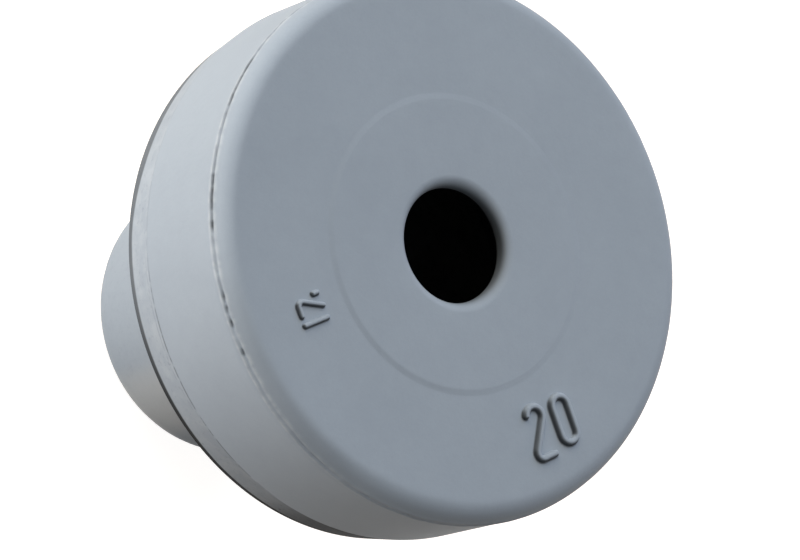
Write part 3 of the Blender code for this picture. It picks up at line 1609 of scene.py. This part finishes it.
@dataclass(frozen=True)
class RearStrip:
    """The dark strip along the head's rear edge: dirt all round, and painted shade that makes it
    densest low on the left.

    Args:
        seat: Height of the seat.
        top: Heights above the seat between which it ends, the lower one last.
        climb: Where it reaches higher, and how much.
        waviness: The pattern of its uneven upper border.
        wave: How far that border wanders.
        behind: Heights above the seat between which it sets in.
        side: Radii between which it sets in.
        share: How dense it is all round.
        shade_films: Where it is denser: painted shade low on the left.
    """

    seat: float
    top: Window = (0.62, 0.42)
    climb: Film = Film(135.0, 0.80, 0.97, 0.42)
    waviness: Grain = Grain(0.8, 2.0, 0.5)
    wave: float = 0.03
    behind: Window = (-0.1, -0.02)
    side: Window = (13.0, 13.35)
    share: float = 0.62
    # Painted shade where the rear edge faces down the left.
    shade_films: tuple[Film, ...] = (Film(235.0, 0.0, 0.55, 0.04), Film(235.0, 0.55, 0.95, 0.30))

    def cover(self, spot: Spot) -> Value:
        """Return how dark the strip is there."""
        up = spot.z - self.seat
        wavy = up + (self.waviness.on(spot) - 0.5) * self.wave - self.climb.on(spot)
        strip = wavy.step(*self.top) * up.step(*self.behind) * spot.radius.step(*self.side)
        return strip * (sum(shade_film.on(spot) for shade_film in self.shade_films) + self.share)


@dataclass(frozen=True)
class EdgeShade:
    """Painted shade on the front edge where it faces down the left."""

    side: Window = (12.9, 13.4)
    heights: Window = (22.9, 23.3)
    shade_film: Film = Film(212.0, 0.84, 1.0, 0.17)

    def cover(self, spot: Spot) -> Value:
        """Return how much painted shade lies there."""
        return spot.radius.step(*self.side) * spot.z.step(*self.heights) * self.shade_film.on(spot)


@dataclass(frozen=True)
class RingShade:
    """Painted shade on the plateau's edge, where it faces down the left and, fainter, where it faces
    45°.

    Args:
        radius: The edge's radius.
        half: How far the painted shade spreads.
        heights: Heights between which it sets in.
        shade_films: Where it is.
    """

    radius: float
    half: float = 0.30
    heights: Window = (23.0, 23.5)
    shade_films: tuple[Film, ...] = (Film(228.0, 0.45, 1.0, 0.07), Film(45.0, 0.60, 1.0, 0.045))

    def cover(self, spot: Spot) -> Value:
        """Return how much painted shade lies there."""
        edge = (spot.radius - self.radius).band(self.half) * spot.z.step(*self.heights)
        return edge * sum(shade_film.on(spot) for shade_film in self.shade_films)


@dataclass(frozen=True)
class SpoutDirtAndShade:
    """The dust and dirt on the spout, and painted shade that thickens towards the head on the far
    low side.

    Args:
        seat: Height of the seat.
        border: Heights above the seat between which both set in.
        inside: Radii between which both set in, the smaller one last.
        dust: The film of dust on its low left side.
        specks: The pattern of its specks.
        speckled: Values of the pattern between which a speck sets in.
        speck_share: How dark a speck is.
        low: Where the far low side is.
        low_shade_heights: Heights between which the painted shade there sets in.
        low_shade_share: How dense that is.
        low_speck_share: How much darker a speck is there.
    """

    seat: float
    border: Window = (0.1, 0.0)
    inside: Window = (10.5, 9.5)
    dust: Film = Film(222.0, 0.93, 1.0, 0.30)
    specks: Grain = Grain(2.6, 4.0, 0.7)
    speckled: Window = (0.50, 0.72)
    speck_share: float = 0.05
    low: Film = Film(248.0, 0.80, 0.98)
    low_shade_heights: Window = (3.0, 10.0)
    low_shade_share: float = 0.30
    low_speck_share: float = 0.28

    def mask(self, spot: Spot) -> Value:
        """Return where the shank is, behind the head and inside the panel hole."""
        return spot.radius.step(*self.inside) * (spot.z - self.seat).step(*self.border)

    def dusting(self, spot: Spot) -> Value:
        """Return how much dust lies on the spout."""
        return self.mask(spot) * self.dust.on(spot)

    def cover(self, spot: Spot) -> Value:
        """Return how much dirt and painted shade lie on the spout."""
        specks = self.specks.on(spot).step(*self.speckled)
        # Specks of dirt, and painted shade near the head on the far low side.
        low = self.low.on(spot) * spot.z.step(*self.low_shade_heights)
        return self.mask(spot) * (specks * self.speck_share
                                  + low * (specks * self.low_speck_share + self.low_shade_share))


# ---------------------------------------------------------------- the finishes

@dataclass(frozen=True)
class MouldedElastomer:
    """The outside's finish: matt blue-grey elastomer, and a near-black matt cover where the marks
    put dirt and painted shade.

    Args:
        section: The sizes that the marks follow.
        witness: The line on the side that gathers dirt.
        pale: The elastomer's colour where it is palest.
        deep: Its colour where it is deepest.
        grime_and_shade: The colour of the dirt and of the painted shade.
        dust: The colour of the dust on the rough band, and of the painted highlight on the seam's
            lips.
        warm_dust: The colour of the dust on the spout.
        lip_highlight: How much of that colour the seam's lips take as painted highlight.
        clouds: The broad change of its colour, and its share.
        mottle: The finer change, and its share in the colour and the roughness.
        grain: The finest change, and its share in the colour and the roughness.
        shades: Values of the sum between which the colour goes from deep to pale.
        pores: The fine bumps of the skin, and their height in metres.
        waves: The broader bumps of the skin, and their height in metres.
        relief: How strong both kinds of bumps are.
        roughness: How matt the elastomer is.
        shine: Its specular level.
        cover_roughness: How matt the dirt and painted shade are.
        cover_shine: Their specular level.
    """

    section: Section
    witness: WitnessLine
    pale: Colour = (0.330, 0.371, 0.420, 1.0)
    deep: Colour = (0.270, 0.307, 0.352, 1.0)
    grime_and_shade: Colour = (0.016, 0.016, 0.016, 1.0)
    dust: Colour = (0.58, 0.60, 0.62, 1.0)
    warm_dust: Colour = (0.58, 0.56, 0.51, 1.0)
    lip_highlight: float = 0.34
    clouds: tuple[Grain, float] = (Grain(0.16, 3.0, 0.5), 0.35)
    mottle: tuple[Grain, float, float] = (Grain(1.1, 4.0, 0.6), 0.30, 0.16)
    grain: tuple[Grain, float, float] = (Grain(9.0, 3.0, 0.65), 0.22, 0.10)
    shades: Window = (0.05, 0.95)
    pores: tuple[Grain, float] = (Grain(14.0, 4.0, 0.6), 0.00003)
    waves: tuple[Grain, float] = (Grain(3.0, 3.0, 0.5), 0.00008)
    relief: float = 0.10
    roughness: float = 0.60
    shine: float = 0.12
    cover_roughness: float = 0.9
    cover_shine: float = 0.05

    def material(self) -> bpy.types.Material:
        """Build the material.

        Returns:
            The material, whose dark cover of dirt and painted shade lies over the elastomer by the
            densest mark at each place.
        """
        made, graph = new_material("blue_grey_elastomer")
        spot = Spot(graph)
        seat, line = self.section.seat, self.witness.height
        band = RoughBand(foot=(seat + 0.2, seat + 0.4), top=(line, line - 0.1))
        spout = SpoutDirtAndShade(seat)
        skin = None
        for grain, depth in (self.pores, self.waves):
            skin = graph.bump(grain.on(spot), self.relief, depth, skin)
        clouds, mottle, grain = (kind[0].on(spot) - 0.5
                                 for kind in (self.clouds, self.mottle, self.grain))
        shade = clouds * self.clouds[1] + mottle * self.mottle[1] + grain * self.grain[1] + 0.5
        rough = self.roughness + mottle * self.mottle[2] + grain * self.grain[2]
        colour = graph.mix(shade.step(*self.shades), self.deep, self.pale)
        colour = graph.mix(band.dusting(spot, mottle + 0.5), colour, self.dust)
        colour = graph.mix(spout.dusting(spot), colour, self.warm_dust)
        # Painted highlight on the seam's lips, towards the dust's pale colour.
        colour = graph.mix(graph.layer(LIP_HIGHLIGHT) * self.lip_highlight, colour, self.dust)
        rubber = graph.principled(colour, rough, self.shine, skin)
        # The near-black matt cover, which stands for dirt and for painted shade.
        dirt = graph.principled(self.grime_and_shade, self.cover_roughness, self.cover_shine, skin)
        # Dark cover from the marks: dirt, and painted shade on the lip, seam, numbers, band, witness
        # line, rear strip, front edge, plateau's edge and spout.
        cover = graph.layer(GRIME_AND_SHADE)
        for mark in (band, spout, WitnessShade(line), RearStrip(seat), EdgeShade(),
                     RingShade(self.section.plateau_radius)):
            cover = cover.math("MAXIMUM", mark.cover(spot))
        graph.finish(graph.blend(cover, rubber, dirt))
        return made


@dataclass(frozen=True)
class HollowPaintedShade:
    """The hollow's finish: the same elastomer, near-black with painted shade, as no light reaches
    inside.

    Args:
        clean: Its colour where the painted shade is palest.
        deepest_shade: Its colour where it is darkest.
        shade_pattern: The pattern of the two.
        shade_window: Values of the pattern between which the deeper shade sets in.
        skin: The skin's bumps, and their height in metres.
        relief: How strong the bumps are.
        roughness: How matt it is.
        roughness_change: How much the pattern changes that.
        shine: Its specular level.
    """

    # Near-black painted shade: the inside is coloured as if unlit.
    clean: Colour = (0.030, 0.033, 0.037, 1.0)
    deepest_shade: Colour = (0.010, 0.011, 0.012, 1.0)
    shade_pattern: Grain = Grain(0.7, 4.0, 0.6)
    shade_window: Window = (0.3, 0.7)
    skin: tuple[Grain, float] = (Grain(8.0, 3.0, 0.6), 0.00004)
    relief: float = 0.2
    roughness: float = 0.85
    roughness_change: float = 0.2
    shine: float = 0.2

    def material(self) -> bpy.types.Material:
        """Build the material."""
        made, graph = new_material("hollow_painted_shade")
        spot = Spot(graph)
        shade_pattern = self.shade_pattern.on(spot)
        colour = graph.mix(shade_pattern.step(*self.shade_window), self.clean, self.deepest_shade)
        rough = self.roughness + (shade_pattern - 0.5) * self.roughness_change
        grain, depth = self.skin
        skin = graph.bump(grain.on(spot), self.relief, depth)
        graph.finish(graph.principled(colour, rough, self.shine, skin))
        return made


@dataclass(frozen=True)
class PaleFloorFinish:
    """A pale matt floor that the camera sees as near white, with the grommet's shadow kept.

    Args:
        paint: Its colour.
        speck: The colour of its specks.
        specks: Their pattern.
        roughness: How matt it is.
        shine: Its specular level.
        whiteness: How much of pure white is added to what the camera sees.
    """

    paint: Colour = (0.54, 0.45, 0.36, 1.0)
    speck: Colour = (0.58, 0.49, 0.40, 1.0)
    specks: Grain = Grain(180.0, 3.0, 0.6)
    roughness: float = 0.9
    shine: float = 0.1
    whiteness: float = 0.92

    def material(self) -> bpy.types.Material:
        """Build the material."""
        made, graph = new_material("pale_floor")
        here = graph.node("ShaderNodeTexCoord", None, None, "Object")
        colour = graph.mix(graph.noise(here, self.specks), self.paint, self.speck)
        matt = graph.principled(colour, self.roughness, self.shine)
        glow = graph.node("ShaderNodeEmission", None, {"Color": WHITE, "Strength": 1.0})
        shown = graph.blend(graph.seen_directly() * self.whiteness, None, glow)
        graph.finish(graph.node("ShaderNodeAddShader", None, {0: matt, 1: shown}))
        return made


# ---------------------------------------------------------------- the studio

@dataclass(frozen=True)
class Lamp:
    """A soft rectangular lamp that looks at the grommet.

    Args:
        name: Its name.
        azimuth: Which way it stands from the grommet in the face's plane, in degrees.
        elevation: How high it stands, in degrees.
        power: Its strength at the grommet, as a sun's.
        size: Its width and height, in metres.
        tint: Its colour.
        distance: How far off it stands, in metres.
        aim: Height of the point on the axis that it looks at, in mm.
    """

    name: str
    azimuth: float
    elevation: float
    power: float
    size: tuple[float, float]
    tint: tuple[float, float, float]
    distance: float = 1.0
    aim: float = 14.0

    def light(self) -> None:
        """Add the lamp."""
        data = bpy.data.lights.new(self.name, "AREA")
        data.shape = "RECTANGLE"
        data.size, data.size_y = self.size
        data.energy = self.power * math.pi * self.distance ** 2
        data.color = self.tint
        rise = math.radians(self.elevation)
        way = around(math.radians(self.azimuth)) * math.cos(rise)
        way.z = math.sin(rise)
        item = add_object(self.name, data)
        item.location = Vector((0.0, 0.0, self.aim)) * MILLIMETRE + way * self.distance
        item.rotation_mode = "QUATERNION"
        item.rotation_quaternion = way.to_track_quat("Z", "Y")


@dataclass(frozen=True)
class PhotoCamera:
    """The camera at the photograph's viewing angle.

    Args:
        azimuth: How far the grommet's axis points to the right of the camera, in degrees.
        elevation: How far the axis points up, in degrees.
        face_centre: Where the middle of the face is from the camera: right, up and back, in mm.
        focal_pixels: Focal length in pixels of a frame that is frame_pixels wide.
        frame_pixels: Width of that frame.
        sensor_width: Width of the sensor, in mm.
        clip: Nearest and furthest distance that it sees, in metres.
        name: Its name.
    """

    azimuth: float = 35.06
    elevation: float = 9.91
    face_centre: tuple[float, float, float] = (2.828, 1.811, -223.46)
    focal_pixels: float = 4500.0
    frame_pixels: float = 800.0
    sensor_width: float = 36.0
    clip: tuple[float, float] = (0.01, 20.0)
    name: str = "photo_camera"

    def place(self, face_height: float) -> None:
        """Add the camera and make it the scene's.

        Args:
            face_height: Height of the face's middle, in mm.
        """
        az, el = math.radians(self.azimuth), math.radians(self.elevation)
        axis = Vector((math.sin(az) * math.cos(el), math.sin(el), math.cos(az) * math.cos(el)))
        right = Vector((0.0, 1.0, 0.0)).cross(axis).normalized()
        turn = Matrix((right, axis.cross(right), axis))
        spot = Vector((0.0, 0.0, face_height)) - turn @ Vector(self.face_centre)
        data = bpy.data.cameras.new(self.name)
        data.sensor_width = self.sensor_width
        data.lens = self.focal_pixels * self.sensor_width / self.frame_pixels
        data.clip_start, data.clip_end = self.clip
        item = add_object(self.name, data)
        item.matrix_world = Matrix.Translation(spot * MILLIMETRE) @ turn.to_4x4()
        bpy.context.scene.camera = item


@dataclass(frozen=True)
class Studio:
    """The pale floor, the soft lamps and the even world round the grommet.

    Args:
        floor_half: Half the floor's width, in metres.
        floor_cells: How many faces it has across.
        world_strength: How bright the even light from all round is.
        lamps: The lamps.
    """

    floor_half: float = 1.5
    floor_cells: int = 8
    world_strength: float = 0.02
    lamps: tuple[Lamp, ...] = (
        Lamp("low_strip", azimuth=160.5, elevation=0.0, power=3.12, size=(0.12, 0.022),
             tint=(0.98, 0.99, 1.0), distance=0.16, aim=12.0),
        Lamp("upper_left_lamp", azimuth=112.0, elevation=30.0, power=1.95, size=(0.90, 0.70),
             tint=(1.0, 0.93, 0.78)),
        Lamp("upper_right_lamp", azimuth=50.0, elevation=34.0, power=1.78, size=(0.70, 0.70),
             tint=(0.68, 0.80, 1.0)),
        Lamp("top_lamp", azimuth=180.0, elevation=84.0, power=1.18, size=(0.60, 0.60),
             tint=(0.96, 0.98, 1.0)),
        Lamp("right_lamp", azimuth=355.0, elevation=14.0, power=0.34, size=(0.60, 0.36),
             tint=(1.0, 0.80, 0.60)),
    )

    def build(self) -> None:
        """Add the floor, the lamps and the world."""
        self.floor()
        for lamp in self.lamps:
            lamp.light()
        self.world()

    def floor(self) -> None:
        """Add the floor."""
        drawing = bmesh.new()
        bmesh.ops.create_grid(drawing, x_segments=self.floor_cells, y_segments=self.floor_cells,
                              size=self.floor_half)
        item = add_mesh("floor", drawing)
        item.data.materials.append(PaleFloorFinish().material())

    def world(self) -> None:
        """Light the scene evenly, and show white where nothing stands."""
        world = bpy.data.worlds.new("studio_world")
        world.use_nodes = True
        bpy.context.scene.world = world
        graph = Graph(world.node_tree)
        even, white = (graph.node("ShaderNodeBackground", None,
                                  {"Color": WHITE, "Strength": strength})
                       for strength in (self.world_strength, 1.0))
        both = graph.blend(graph.seen_directly(), even, white)
        graph.node("ShaderNodeOutputWorld", None, {"Surface": both})


def main() -> None:
    """Build the grommet and its studio, and report each piece."""
    logging.basicConfig(level=logging.INFO, format="%(message)s")
    grommet = Grommet()
    piece = grommet.build()
    outside = MouldedElastomer(grommet.section, grommet.witness).material()
    grommet.dress(piece, outside, HollowPaintedShade().material())
    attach(piece, "root")
    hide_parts("grommet")
    log.info("%s: %d faces", piece.name, len(piece.data.polygons))
    Studio().build()
    PhotoCamera().place(grommet.section.length)
    bpy.context.scene.view_settings.view_transform = "Standard"


if __name__ == "__main__":
    main()
